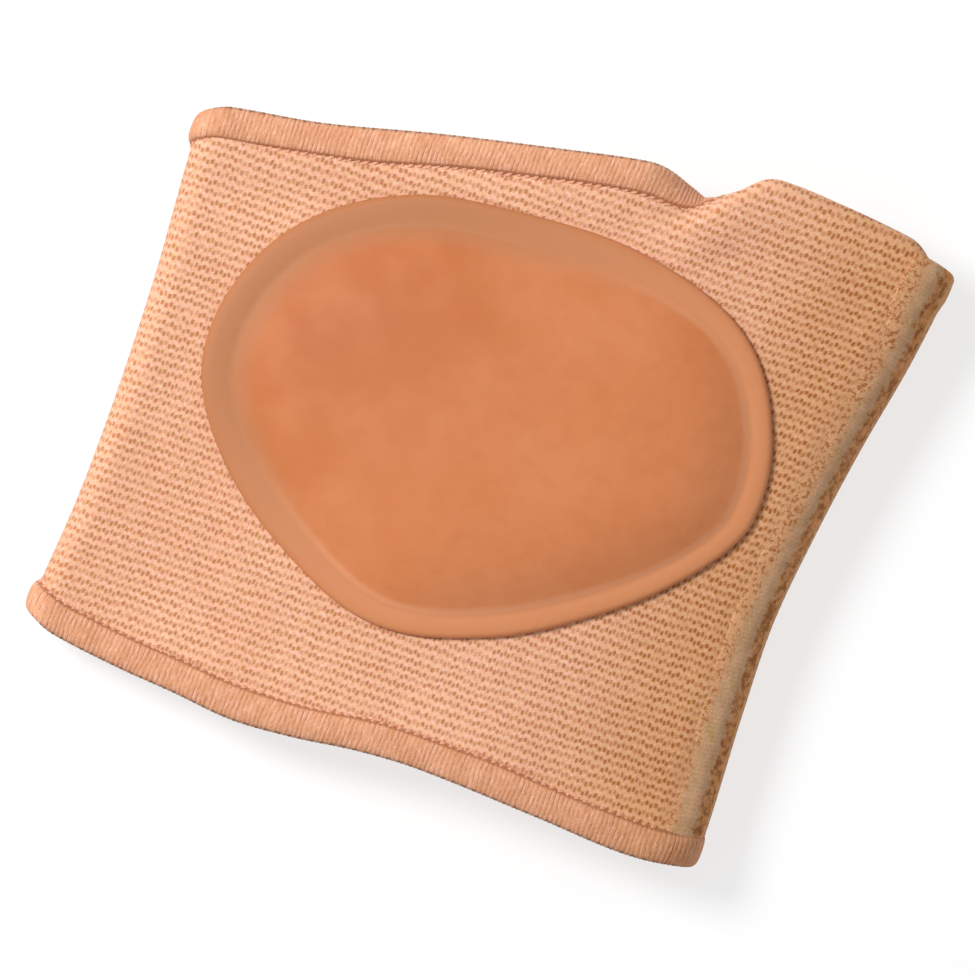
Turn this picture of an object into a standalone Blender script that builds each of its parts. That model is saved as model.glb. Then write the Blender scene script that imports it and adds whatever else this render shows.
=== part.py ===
"""Elastic forefoot sleeve with a moulded gel metatarsal cushion, lying on its back panel.

The sleeve is a knitted tube, pressed nearly flat. Its left side is a plain fold, its right
side a rounder roll that carries the sewn seam. Both mouths have a thick overlocked hem, and
the upper one is turned inward on the right part of the front panel.

Axes: +X runs along the knit rows, from the folded side to the seam side. +Y runs along the
tube, from the lower mouth to the upper one. +Z is up, with the back panel on z = 0.
"""
from collections import namedtuple
from math import acos, cos, hypot, pi, radians, sin

import bmesh
import bpy
from mathutils import Vector

# Driving dimensions, in metres
WAIST_WIDTH = 0.0808          # outer width where the flattened sleeve is narrowest
LEFT_LENGTH = 0.0629          # hem edge to hem edge along the folded side
LEFT_FLARE = 0.0026           # how far the folded side leans out at the upper mouth
RIGHT_FLARE = 0.0055          # how far the seam side leans out at the upper mouth
UPPER_RISE = 0.0157           # climb of the front's upper edge from the fold to the shoulder
LOWER_SAG = 0.0028            # drop of the front's lower edge below its corners
BACK_LOWER_INSET = 0.0009     # how much shorter the back panel is at the lower mouth
BACK_UPPER_INSET = 0.0016     # how much shorter it is at the upper mouth
TAB_RISE = 0.0131             # climb from the fold to the hem's corner beside the seam
CORNER_DROP = 0.0022          # rounding of the front's upper corner beside the seam

KNIT_THICKNESS = 0.0011
FOLD_RADIUS = 0.0024          # middle of the knit round the folded side
ROLL_REACH = 0.0062           # how far the seam side's roll reaches sideways
ROLL_HEIGHT_LOWER = 0.0046    # half height of that roll at the lower mouth
ROLL_HEIGHT_UPPER = 0.0056    # half height of that roll at the upper mouth
PANEL_CROWN = 0.0012          # how much the front panel stands up at its middle

HEM_WIDTH = 0.0040
HEM_THICKNESS = 0.0025
HEM_GRIP = 0.0025             # length of knit held inside a hem
HEM_BESIDE = 0.0052           # distance from the edge at which a hem's puff has faded
TURN_LENGTH = 0.0040          # length of knit that bends where the hem is turned inward
TURN_ANGLE = radians(165)     # how far the hem is turned inward
SETTLE_LENGTH = 0.0065        # distance in which the back knit comes down from hem to ground

SEAM_ANGLE = radians(45)      # height of the seam on the roll, from its outermost line
SEAM_WIDTH = 0.0022
SEAM_RIDGE = 0.0007           # height of the welt above the knit's outer face
SEAM_END = 0.8                # thickness of the welt's two ends, as a share of the hem's

PAD_LENGTH = 0.0671
PAD_WIDTH = 0.0516
PAD_CENTRE_FROM_FOLD = 0.0408
PAD_CENTRE_BELOW_CORNER = 0.0234  # from the front's upper left corner
PAD_THICKNESS = 0.0048

CLEARANCE = 0.0003            # gap kept between neighbouring pieces

# Fineness of the mesh
FRONT_STEPS = 27
BACK_STEPS = 13
FOLD_STEPS = 8
SHOULDER_STEPS = 4
ROLL_STEPS = 8
TURN_STEPS = 5
MIDDLE_STEPS = 9
PAD_SEGMENTS = 48
STATION_TURNS = 12            # repeats with which the place below a point is found
ANGLE_STEP = radians(2)       # step with which a slope on the roll is measured

# Sides of the sleeve: share along it from the lower mouth, shares of the two flares
SideRow = namedtuple("SideRow", "along left right")
SIDES = (
    SideRow(along=0.00, left=0.27, right=0.33),
    SideRow(along=0.10, left=0.15, right=0.27),
    SideRow(along=0.25, left=0.00, right=0.13),
    SideRow(along=0.40, left=0.03, right=0.05),
    SideRow(along=0.55, left=0.16, right=0.21),
    SideRow(along=0.70, left=0.37, right=0.46),
    SideRow(along=0.85, left=0.71, right=0.79),
    SideRow(along=1.00, left=1.00, right=1.00),
)

# Front panel's upper edge: share across it, share of the rise, share of the inward turn
UpperRow = namedtuple("UpperRow", "across rise turn")
UPPER_EDGE = (
    UpperRow(across=0.00, rise=0.000, turn=0.00),
    UpperRow(across=0.03, rise=0.060, turn=0.00),
    UpperRow(across=0.15, rise=0.190, turn=0.00),
    UpperRow(across=0.30, rise=0.420, turn=0.00),
    UpperRow(across=0.46, rise=0.637, turn=0.00),
    UpperRow(across=0.57, rise=0.780, turn=0.02),
    UpperRow(across=0.60, rise=0.800, turn=0.10),
    UpperRow(across=0.64, rise=0.755, turn=0.30),
    UpperRow(across=0.67, rise=0.705, turn=0.55),
    UpperRow(across=0.70, rise=0.815, turn=0.80),
    UpperRow(across=0.73, rise=0.970, turn=0.95),
    UpperRow(across=0.76, rise=1.000, turn=1.00),
    UpperRow(across=0.84, rise=0.985, turn=1.00),
    UpperRow(across=0.90, rise=0.960, turn=1.00),
    UpperRow(across=0.95, rise=0.930, turn=1.00),
    UpperRow(across=1.00, rise=0.890, turn=1.00),
)

# Front panel's lower edge: share across it, share of the sag
LowerRow = namedtuple("LowerRow", "across sag")
LOWER_EDGE = (
    LowerRow(across=0.00, sag=0.00),
    LowerRow(across=0.04, sag=0.36),
    LowerRow(across=0.14, sag=0.68),
    LowerRow(across=0.23, sag=0.82),
    LowerRow(across=0.32, sag=1.00),
    LowerRow(across=0.41, sag=0.75),
    LowerRow(across=0.50, sag=0.32),
    LowerRow(across=0.59, sag=0.11),
    LowerRow(across=0.77, sag=0.21),
    LowerRow(across=0.90, sag=0.33),
    LowerRow(across=1.00, sag=0.05),
)

# Gel cushion's outline: degrees round it, reach as a share of the half length and half width
OutlineRow = namedtuple("OutlineRow", "degrees reach")
PAD_OUTLINE = (
    OutlineRow(degrees=0, reach=0.99),
    OutlineRow(degrees=24, reach=1.04),
    OutlineRow(degrees=48, reach=1.09),
    OutlineRow(degrees=72, reach=1.03),
    OutlineRow(degrees=96, reach=0.97),
    OutlineRow(degrees=120, reach=1.00),
    OutlineRow(degrees=144, reach=1.01),
    OutlineRow(degrees=168, reach=1.00),
    OutlineRow(degrees=192, reach=1.00),
    OutlineRow(degrees=216, reach=0.97),
    OutlineRow(degrees=240, reach=0.97),
    OutlineRow(degrees=264, reach=1.01),
    OutlineRow(degrees=288, reach=0.92),
    OutlineRow(degrees=312, reach=0.86),
    OutlineRow(degrees=336, reach=0.89),
    OutlineRow(degrees=360, reach=0.99),
)

# Gel cushion's section: share of the way in from its rim, share of its thickness
SectionRow = namedtuple("SectionRow", "inward height")
PAD_SECTION = (
    SectionRow(inward=0.000, height=0.10),
    SectionRow(inward=0.012, height=0.20),
    SectionRow(inward=0.050, height=0.25),
    SectionRow(inward=0.100, height=0.21),
    SectionRow(inward=0.135, height=0.34),
    SectionRow(inward=0.200, height=0.60),
    SectionRow(inward=0.330, height=0.84),
    SectionRow(inward=0.560, height=0.97),
    SectionRow(inward=0.800, height=1.00),
)

# Hem's section, one half: shares of its width from the inner line and of its half thickness
HemRow = namedtuple("HemRow", "across height")
HEM_SECTION = (
    HemRow(across=0.12, height=1.00),
    HemRow(across=0.75, height=1.00),
    HemRow(across=0.93, height=0.70),
)

# Underside of the gel cushion: shares of the way in from its rim
UNDERSIDE_RINGS = (0.70, 0.35, 0.012)

# Seam welt's section: shares of its width toward the front and of its height above the knit
WeltRow = namedtuple("WeltRow", "side lift")
SEAM_SECTION = (
    WeltRow(side=0.50, lift=0.00),
    WeltRow(side=0.40, lift=0.65),
    WeltRow(side=0.10, lift=1.00),
    WeltRow(side=-0.15, lift=0.70),
    WeltRow(side=-0.28, lift=-0.20),
    WeltRow(side=-0.50, lift=-0.45),
)

# A place round the tube. The part is front, fold, back, roll (the seam side, from the ground
# up to the seam) or shoulder (from the seam up to the front). The place is a share across a
# panel from the fold, or an angle round a side, measured from its outermost line.
Station = namedtuple("Station", "part place")


def curve_at(rows, column, share):
    """Value of a table's column at a share of its first column, on a smooth curve."""
    keys = [row[0] for row in rows]
    values = [getattr(row, column) for row in rows]
    if share <= keys[0]:
        return values[0]
    if share >= keys[-1]:
        return values[-1]
    right = next(index for index, key in enumerate(keys) if key > share)
    left = right - 1

    def slope(index):
        before = max(index - 1, 0)
        after = min(index + 1, len(keys) - 1)
        return (values[after] - values[before]) / (keys[after] - keys[before])

    span = keys[right] - keys[left]
    t = (share - keys[left]) / span
    return (
        values[left] * (1 + 2 * t) * (1 - t) ** 2
        + values[right] * t * t * (3 - 2 * t)
        + slope(left) * span * t * (1 - t) ** 2
        - slope(right) * span * t * t * (1 - t)
    )


def smooth_step(share):
    share = min(max(share, 0.0), 1.0)
    return share * share * (3 - 2 * share)


def mix(first, second, share):
    return first + (second - first) * share


def side_left(along):
    """Middle of the knit at the folded side."""
    half = (WAIST_WIDTH - KNIT_THICKNESS) / 2
    return -half - LEFT_FLARE * curve_at(SIDES, "left", along)


def side_right(along):
    """Middle of the knit at the seam side."""
    half = (WAIST_WIDTH - KNIT_THICKNESS) / 2
    return half + RIGHT_FLARE * curve_at(SIDES, "right", along)


def roll_height(along):
    return mix(ROLL_HEIGHT_LOWER, ROLL_HEIGHT_UPPER, along)


def front_share(station):
    """1 on the front panel, 0 on the back panel, in between round the two sides."""
    if station.part == "front":
        return 1.0
    if station.part == "back":
        return 0.0
    return (1 + sin(station.place)) / 2


def plan_x(station, along):
    left = side_left(along)
    right = side_right(along)
    if station.part == "fold":
        return left + FOLD_RADIUS * (1 + cos(station.place))
    if station.part in ("roll", "shoulder"):
        return right - ROLL_REACH * (1 - cos(station.place))
    return mix(left + FOLD_RADIUS, right - ROLL_REACH, station.place)


def share_across(station, along):
    left = side_left(along)
    return (plan_x(station, along) - left) / (side_right(along) - left)


def lower_edge(station):
    across = share_across(station, 0.0)
    front = -LOWER_SAG * curve_at(LOWER_EDGE, "sag", across)
    return mix(BACK_LOWER_INSET, front, front_share(station))


def upper_edge(station):
    """The highest line of the upper mouth, as seen from above."""
    across = share_across(station, 1.0)
    back = LEFT_LENGTH + TAB_RISE * across - BACK_UPPER_INSET
    if station.part == "roll":
        share = front_share(station) / (1 + sin(SEAM_ANGLE)) * 2
        return mix(back, LEFT_LENGTH + TAB_RISE, share)
    front = LEFT_LENGTH + UPPER_RISE * curve_at(UPPER_EDGE, "rise", across)
    if station.part == "shoulder":
        near_seam = (pi / 2 - station.place) / (pi / 2 - SEAM_ANGLE)
        return front - CORNER_DROP * max(near_seam, 0.0) ** 2
    return mix(back, front, front_share(station))


def turn_angle(station):
    """How far the upper hem is turned inward at a station."""
    if station.part in ("front", "shoulder"):
        return TURN_ANGLE * curve_at(UPPER_EDGE, "turn", share_across(station, 1.0))
    return 0.0


def turned_strip(angle, length):
    """Reach and drop of a point on the strip that bends and then runs straight."""
    bent = min(length, TURN_LENGTH)
    straight = length - bent
    if angle < 1e-4:
        return length, 0.0
    radius = TURN_LENGTH / angle
    turned = bent / radius
    reach = radius * sin(turned) + straight * cos(angle)
    drop = radius * (1 - cos(turned)) + straight * sin(angle)
    return reach, drop


def strip_reach(angle):
    """Farthest line that the strip and its hem reach beyond the strip's start."""
    face = HEM_THICKNESS / 2 * sin(angle)
    end_reach = turned_strip(angle, TURN_LENGTH + HEM_WIDTH)[0] + face
    if angle <= pi / 2:
        return end_reach
    hem_reach = turned_strip(angle, TURN_LENGTH + HEM_WIDTH / 4)[0] + face
    return max(end_reach, hem_reach, TURN_LENGTH / angle + KNIT_THICKNESS / 2)


def section_height(station, along):
    """Height of the knit's middle above that of the back panel."""
    tall = roll_height(along)
    if station.part == "back":
        return 0.0
    if station.part == "fold":
        return FOLD_RADIUS * (1 + sin(station.place))
    if station.part in ("roll", "shoulder"):
        return tall * (1 + sin(station.place))
    rise = 2 * mix(FOLD_RADIUS, tall, smooth_step(station.place))
    return rise + PANEL_CROWN * sin(pi * station.place) ** 2


def knit_point(station, from_lower=None, from_upper=None, middle=0.5):
    """A point of the knit's middle surface.

    It is given by its distance from the lower hem's edge, or by its distance from the
    upper hem's edge along the cloth, or by its share between the two.
    """
    low = lower_edge(station)
    high = upper_edge(station)
    angle = turn_angle(station)
    strip = TURN_LENGTH + HEM_WIDTH
    strip_start = high - strip_reach(angle)
    drop = 0.0
    if from_lower is not None:
        y = low + from_lower
    elif from_upper is not None:
        reach, drop = turned_strip(angle, strip - from_upper)
        y = strip_start + reach
    else:
        y = mix(low + HEM_WIDTH + CLEARANCE, strip_start, middle)
    along = (y - low) / (high - low)
    from_edge = min(y - low, high - y) - HEM_WIDTH
    lift = 1 - smooth_step(from_edge / SETTLE_LENGTH)
    base = mix(KNIT_THICKNESS / 2, HEM_THICKNESS / 2, lift)
    inward = inward_direction(station, along)
    x = plan_x(station, along) + drop * inward.x
    return Vector((x, y, base + section_height(station, along) + drop * inward.y))


def inward_direction(station, along):
    """Direction across the tube, in x and z, in which the turned hem hangs."""
    if station.part != "shoulder":
        return Vector((0.0, -1.0))
    across = cos(station.place) * roll_height(along)
    up = sin(station.place) * ROLL_REACH
    return -Vector((across, up)).normalized()


def side_stations(part, first, last, steps):
    return [Station(part, mix(first, last, step / steps)) for step in range(steps + 1)]


def loop_stations():
    """Stations round the tube, from the seam over the front, the fold and the back to it."""
    gap = seam_arc_angle(SEAM_WIDTH / 2 + CLEARANCE)
    front = [Station("front", 1 - step / FRONT_STEPS) for step in range(FRONT_STEPS + 1)]
    fold = side_stations("fold", pi / 2, 3 * pi / 2, FOLD_STEPS)
    back = [Station("back", step / BACK_STEPS) for step in range(BACK_STEPS + 1)]
    shoulder = side_stations("shoulder", SEAM_ANGLE + gap, pi / 2, SHOULDER_STEPS)
    roll = side_stations("roll", -pi / 2, SEAM_ANGLE - gap, ROLL_STEPS)
    return shoulder[:-1] + front + fold[1:-1] + back + roll[1:]


def seam_arc_angle(length):
    """Angle on the roll that a length along the cloth spans beside the seam."""
    return length / hypot(ROLL_REACH * sin(SEAM_ANGLE), ROLL_HEIGHT_LOWER * cos(SEAM_ANGLE))


def new_part(name, mesh, collection, material):
    part = bpy.data.objects.new(name, mesh)
    collection.objects.link(part)
    mesh.materials.append(material)
    mesh.shade_smooth()
    return part


def new_material(name, colour, roughness):
    material = bpy.data.materials.new(name)
    material.use_nodes = True
    shader = material.node_tree.nodes["Principled BSDF"]
    shader.inputs["Base Color"].default_value = (*colour, 1.0)
    shader.inputs["Roughness"].default_value = roughness
    shader.inputs["Metallic"].default_value = 0.0
    return material


def bridge(bm, first, second, closed):
    """Quads between two rows of vertices with as many points."""
    count = len(first)
    for index in range(count if closed else count - 1):
        after = (index + 1) % count
        bm.faces.new((first[index], first[after], second[after], second[index]))


def loft(bm, rings):
    """A closed body through sections with as many points, flat at both ends."""
    for first, second in zip(rings, rings[1:]):
        bridge(bm, first, second, closed=True)
    bm.faces.new(rings[0])
    bm.faces.new(rings[-1])


def mesh_from(bm, name):
    bmesh.ops.recalc_face_normals(bm, faces=bm.faces)
    mesh = bpy.data.meshes.new(name)
    bm.to_mesh(mesh)
    bm.free()
    return mesh


def knit_rows(station):
    """Points of one knit column, from inside the lower hem to inside the upper hem."""
    held = HEM_WIDTH - HEM_GRIP
    points = [knit_point(station, from_lower=held), knit_point(station, from_lower=HEM_WIDTH)]
    for step in range(1, MIDDLE_STEPS):
        points.append(knit_point(station, middle=step / MIDDLE_STEPS))
    for step in range(TURN_STEPS + 1):
        bent = TURN_LENGTH * step / TURN_STEPS
        points.append(knit_point(station, from_upper=HEM_WIDTH + TURN_LENGTH - bent))
    points.append(knit_point(station, from_upper=held))
    return points


def make_sleeve(collection):
    """The knit, an open sheet round the tube that is given its thickness."""
    bm = bmesh.new()
    columns = []
    for station in loop_stations():
        columns.append([bm.verts.new(point) for point in knit_rows(station)])
    for first, second in zip(columns, columns[1:]):
        bridge(bm, first, second, closed=False)
    material = new_material("peach_knit", (0.78, 0.40, 0.24), 0.9)
    sleeve = new_part("sleeve_knit", mesh_from(bm, "sleeve_knit"), collection, material)
    wall = sleeve.modifiers.new("wall", "SOLIDIFY")
    wall.thickness = KNIT_THICKNESS
    wall.offset = 0.0
    wall.use_even_offset = True
    return sleeve


def hem_section():
    """Outline of the hem across its width: a puffy band with a slot for the knit."""
    half = HEM_THICKNESS / 2
    slot = KNIT_THICKNESS / 2 + CLEARANCE
    slot_end = HEM_GRIP + CLEARANCE
    lip = (half + slot) / 2
    upper = [(0.0, slot), (0.0, lip)]
    upper += [(HEM_WIDTH * row.across, half * row.height) for row in HEM_SECTION]
    lower = [(u, -n) for u, n in reversed(upper)]
    return upper + [(HEM_WIDTH, 0.0)] + lower + [(slot_end, -slot), (slot_end, slot)]


def edge_line(station, upper, from_edge):
    if upper:
        return knit_point(station, from_upper=from_edge)
    return knit_point(station, from_lower=from_edge)


def make_hem(name, upper, collection, material):
    """One band round a mouth, from one side of the seam to the other."""
    stations = loop_stations()
    inner = [edge_line(station, upper, HEM_WIDTH) for station in stations]
    outer = [edge_line(station, upper, 0.0) for station in stations]
    centres = [(a + b) / 2 for a, b in zip(inner, outer)]
    last = len(stations) - 1
    bm = bmesh.new()
    rings = []
    for index in range(last + 1):
        outward = (outer[index] - inner[index]).normalized()
        ahead = centres[min(index + 1, last)] - centres[max(index - 1, 0)]
        normal = outward.cross(ahead).normalized()
        if upper:
            normal.negate()
        ring = [inner[index] + outward * u + normal * n for u, n in hem_section()]
        rings.append([bm.verts.new(point) for point in ring])
    loft(bm, rings)
    return new_part(name, mesh_from(bm, name), collection, material)


def seam_places():
    """Rows of the seam from end to end, each with the half thickness of the cloth there."""
    thick = HEM_THICKNESS / 2
    thin = KNIT_THICKNESS / 2
    ends = thick * SEAM_END
    places = [({"from_lower": 0.0}, ends), ({"from_lower": HEM_WIDTH}, thick)]
    places += [({"from_lower": HEM_BESIDE}, thin)]
    places += [({"middle": step / MIDDLE_STEPS}, thin) for step in range(1, MIDDLE_STEPS)]
    places += [({"from_upper": HEM_WIDTH + TURN_LENGTH}, thin)]
    places += [({"from_upper": HEM_BESIDE}, thin)]
    places += [({"from_upper": HEM_WIDTH}, thick), ({"from_upper": 0.0}, ends)]
    return places


def make_seam(collection):
    """The sewn welt between the cloth's two edges, from mouth to mouth."""
    places = seam_places()
    bm = bmesh.new()
    rings = []
    for index, (place, thickness) in enumerate(places):
        before = places[max(index - 1, 0)][0]
        after = places[min(index + 1, len(places) - 1)][0]
        section = [(row.side, thickness + row.lift * SEAM_RIDGE) for row in SEAM_SECTION]
        section += [(-0.5, -thickness), (0.5, -thickness)]
        ring = []
        for side, lift in section:
            angle = SEAM_ANGLE + seam_arc_angle(side * SEAM_WIDTH)
            station = Station("roll", angle)
            ahead = knit_point(station, **after) - knit_point(station, **before)
            upward = knit_point(Station("roll", angle + ANGLE_STEP), **place)
            upward -= knit_point(Station("roll", angle - ANGLE_STEP), **place)
            normal = upward.cross(ahead).normalized()
            if normal.x < 0:
                normal.negate()
            ring.append(bm.verts.new(knit_point(station, **place) + normal * lift))
        rings.append(ring)
    loft(bm, rings)
    material = new_material("seam_thread", (0.60, 0.34, 0.20), 0.85)
    return new_part("side_seam", mesh_from(bm, "side_seam"), collection, material)


def station_under(x, y):
    """Station of the front panel, or of the roll beyond it, below a point of the plan."""
    station = Station("front", 0.5)
    for _ in range(STATION_TURNS):
        low = lower_edge(station)
        along = (y - low) / (upper_edge(station) - low)
        left = side_left(along) + FOLD_RADIUS
        right = side_right(along) - ROLL_REACH
        place = (x - left) / (right - left)
        station = Station("front", min(max(place, 0.0), 1.0))
    beyond = (x - right) / ROLL_REACH
    if beyond > 0:
        station = Station("shoulder", acos(min(beyond, cos(SEAM_ANGLE))))
    return station, y - lower_edge(station)


def panel_height(x, y):
    """Height of the front panel's outer face below a point of the plan."""
    station, from_lower = station_under(x, y)
    return knit_point(station, from_lower=from_lower).z + KNIT_THICKNESS / 2


def make_pad(collection):
    """The gel cushion, its underside following the front panel that carries it."""
    fold_x = side_left(0.5)
    centre_x = fold_x + PAD_CENTRE_FROM_FOLD
    centre_y = LEFT_LENGTH - PAD_CENTRE_BELOW_CORNER
    bm = bmesh.new()

    def ring_at(inward, height):
        ring = []
        for segment in range(PAD_SEGMENTS):
            angle = 2 * pi * segment / PAD_SEGMENTS
            reach = curve_at(PAD_OUTLINE, "reach", 360 * segment / PAD_SEGMENTS) * (1 - inward)
            x = centre_x + reach * cos(angle) * PAD_LENGTH / 2
            y = centre_y + reach * sin(angle) * PAD_WIDTH / 2
            z = panel_height(x, y) + CLEARANCE + height * PAD_THICKNESS
            ring.append(bm.verts.new((x, y, z)))
        return ring

    top = [ring_at(row.inward, row.height) for row in PAD_SECTION]
    underside = [ring_at(inward, 0.0) for inward in UNDERSIDE_RINGS]
    rings = underside + top
    for first, second in zip(rings, rings[1:]):
        bridge(bm, first, second, closed=True)
    for ring, height in ((rings[0], 0.0), (rings[-1], 1.0)):
        z = panel_height(centre_x, centre_y) + CLEARANCE + height * PAD_THICKNESS
        middle = bm.verts.new((centre_x, centre_y, z))
        for index, vertex in enumerate(ring):
            bm.faces.new((middle, vertex, ring[(index + 1) % PAD_SEGMENTS]))
    material = new_material("gel", (0.70, 0.25, 0.09), 0.35)
    return new_part("gel_pad", mesh_from(bm, "gel_pad"), collection, material)


def centre_in_plan(parts):
    """Moves all parts so that the middle of their common box lies on the Z axis."""
    bpy.context.view_layer.update()
    corners = [part.matrix_world @ Vector(corner) for part in parts for corner in part.bound_box]
    xs = [corner.x for corner in corners]
    ys = [corner.y for corner in corners]
    shift = Vector((-(min(xs) + max(xs)) / 2, -(min(ys) + max(ys)) / 2, 0.0))
    for part in parts:
        part.location = shift


def main():
    for old in list(bpy.data.objects):
        bpy.data.objects.remove(old, do_unlink=True)
    collection = bpy.data.collections.new("metatarsal_pad")
    bpy.context.scene.collection.children.link(collection)
    hem_thread = new_material("hem_thread", (0.76, 0.38, 0.22), 0.85)
    parts = [
        make_sleeve(collection),
        make_hem("lower_hem", False, collection, hem_thread),
        make_hem("upper_hem", True, collection, hem_thread),
        make_seam(collection),
        make_pad(collection),
    ]
    centre_in_plan(parts)


main()
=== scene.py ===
from collections import namedtuple
from math import acos, cos, hypot, pi, radians, sin, sqrt

import bmesh
import bpy
from mathutils import Matrix, Vector
from mathutils.noise import noise


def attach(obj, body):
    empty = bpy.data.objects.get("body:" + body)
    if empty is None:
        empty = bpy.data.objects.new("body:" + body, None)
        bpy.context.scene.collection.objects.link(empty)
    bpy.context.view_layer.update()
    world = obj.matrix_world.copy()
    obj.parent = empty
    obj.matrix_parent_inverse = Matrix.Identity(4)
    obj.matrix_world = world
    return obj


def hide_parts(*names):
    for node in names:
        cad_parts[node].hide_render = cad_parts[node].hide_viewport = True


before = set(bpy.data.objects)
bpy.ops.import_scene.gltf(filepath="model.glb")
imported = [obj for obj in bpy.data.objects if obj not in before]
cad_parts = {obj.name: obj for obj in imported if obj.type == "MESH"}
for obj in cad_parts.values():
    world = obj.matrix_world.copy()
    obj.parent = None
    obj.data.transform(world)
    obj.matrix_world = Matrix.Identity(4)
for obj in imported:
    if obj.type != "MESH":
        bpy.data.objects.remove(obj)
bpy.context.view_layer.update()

# Driving dimensions, in metres
WAIST_WIDTH = 0.0808          # outer width where the flattened sleeve is narrowest
LEFT_LENGTH = 0.0629          # hem edge to hem edge along the folded side
LEFT_FLARE = 0.0026           # how far the folded side leans out at the upper mouth
RIGHT_FLARE = 0.0055          # how far the seam side leans out at the upper mouth
UPPER_RISE = 0.0157           # climb of the front's upper edge from the fold to the shoulder
LOWER_SAG = 0.0028            # drop of the front's lower edge below its corners
BACK_LOWER_INSET = 0.0009     # how much shorter the back panel is at the lower mouth
BACK_UPPER_INSET = 0.0016     # how much shorter it is at the upper mouth
TAB_RISE = 0.0131             # climb from the fold to the hem's corner beside the seam
CORNER_DROP = 0.0022          # rounding of the front's upper corner beside the seam

KNIT_THICKNESS = 0.0011
FOLD_RADIUS = 0.0024          # middle of the knit round the folded side
ROLL_REACH = 0.0062           # how far the seam side's roll reaches sideways
ROLL_HEIGHT_LOWER = 0.0046    # half height of that roll at the lower mouth
ROLL_HEIGHT_UPPER = 0.0056    # half height of that roll at the upper mouth
PANEL_CROWN = 0.0012          # how much the front panel stands up at its middle

HEM_WIDTH = 0.0040
HEM_THICKNESS = 0.0025
HEM_GRIP = 0.0025             # length of knit held inside a hem
HEM_BESIDE = 0.0052           # distance from the edge at which a hem's puff has faded
TURN_LENGTH = 0.0040          # length of knit that bends where the hem is turned inward
TURN_ANGLE = radians(165)     # how far the hem is turned inward
SETTLE_LENGTH = 0.0065        # distance in which the back knit comes down from hem to ground

SEAM_ANGLE = radians(45)      # height of the seam on the roll, from its outermost line
SEAM_WIDTH = 0.0022

PAD_LENGTH = 0.0671
PAD_WIDTH = 0.0516
PAD_CENTRE_FROM_FOLD = 0.0408
PAD_CENTRE_BELOW_CORNER = 0.0234  # from the front's upper left corner
PAD_THICKNESS = 0.0048

CLEARANCE = 0.0003            # gap kept between neighbouring pieces

STATION_TURNS = 12            # repeats with which the place below a point is found
ANGLE_STEP = radians(2)       # step with which a slope on the roll is measured

# Sides of the sleeve: share along it from the lower mouth, shares of the two flares
SideRow = namedtuple("SideRow", "along left right")
SIDES = (
    SideRow(along=0.00, left=0.27, right=0.33),
    SideRow(along=0.10, left=0.15, right=0.27),
    SideRow(along=0.25, left=0.00, right=0.13),
    SideRow(along=0.40, left=0.03, right=0.05),
    SideRow(along=0.55, left=0.16, right=0.21),
    SideRow(along=0.70, left=0.37, right=0.46),
    SideRow(along=0.85, left=0.71, right=0.79),
    SideRow(along=1.00, left=1.00, right=1.00),
)

# Front panel's upper edge: share across it, share of the rise, share of the inward turn
UpperRow = namedtuple("UpperRow", "across rise turn")
UPPER_EDGE = (
    UpperRow(across=0.00, rise=0.000, turn=0.00),
    UpperRow(across=0.03, rise=0.060, turn=0.00),
    UpperRow(across=0.15, rise=0.190, turn=0.00),
    UpperRow(across=0.30, rise=0.420, turn=0.00),
    UpperRow(across=0.46, rise=0.637, turn=0.00),
    UpperRow(across=0.57, rise=0.780, turn=0.02),
    UpperRow(across=0.60, rise=0.800, turn=0.10),
    UpperRow(across=0.64, rise=0.755, turn=0.30),
    UpperRow(across=0.67, rise=0.705, turn=0.55),
    UpperRow(across=0.70, rise=0.815, turn=0.80),
    UpperRow(across=0.73, rise=0.970, turn=0.95),
    UpperRow(across=0.76, rise=1.000, turn=1.00),
    UpperRow(across=0.84, rise=0.985, turn=1.00),
    UpperRow(across=0.90, rise=0.960, turn=1.00),
    UpperRow(across=0.95, rise=0.930, turn=1.00),
    UpperRow(across=1.00, rise=0.890, turn=1.00),
)

# Front panel's lower edge: share across it, share of the sag
LowerRow = namedtuple("LowerRow", "across sag")
LOWER_EDGE = (
    LowerRow(across=0.00, sag=0.00),
    LowerRow(across=0.04, sag=0.36),
    LowerRow(across=0.14, sag=0.68),
    LowerRow(across=0.23, sag=0.82),
    LowerRow(across=0.32, sag=1.00),
    LowerRow(across=0.41, sag=0.75),
    LowerRow(across=0.50, sag=0.32),
    LowerRow(across=0.59, sag=0.11),
    LowerRow(across=0.77, sag=0.21),
    LowerRow(across=0.90, sag=0.33),
    LowerRow(across=1.00, sag=0.05),
)

# Gel cushion's outline: degrees round it, reach as a share of the half length and half width
OutlineRow = namedtuple("OutlineRow", "degrees reach")
PAD_OUTLINE = (
    OutlineRow(degrees=0, reach=0.99),
    OutlineRow(degrees=24, reach=1.04),
    OutlineRow(degrees=48, reach=1.09),
    OutlineRow(degrees=72, reach=1.03),
    OutlineRow(degrees=96, reach=0.97),
    OutlineRow(degrees=120, reach=1.00),
    OutlineRow(degrees=144, reach=1.01),
    OutlineRow(degrees=168, reach=1.00),
    OutlineRow(degrees=192, reach=1.00),
    OutlineRow(degrees=216, reach=0.97),
    OutlineRow(degrees=240, reach=0.97),
    OutlineRow(degrees=264, reach=1.01),
    OutlineRow(degrees=288, reach=0.92),
    OutlineRow(degrees=312, reach=0.86),
    OutlineRow(degrees=336, reach=0.89),
    OutlineRow(degrees=360, reach=0.99),
)

# A place round the tube. The part is front, fold, back, roll (the seam side, from the ground
# up to the seam) or shoulder (from the seam up to the front). The place is a share across a
# panel from the fold, or an angle round a side, measured from its outermost line.
Station = namedtuple("Station", "part place")


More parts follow.
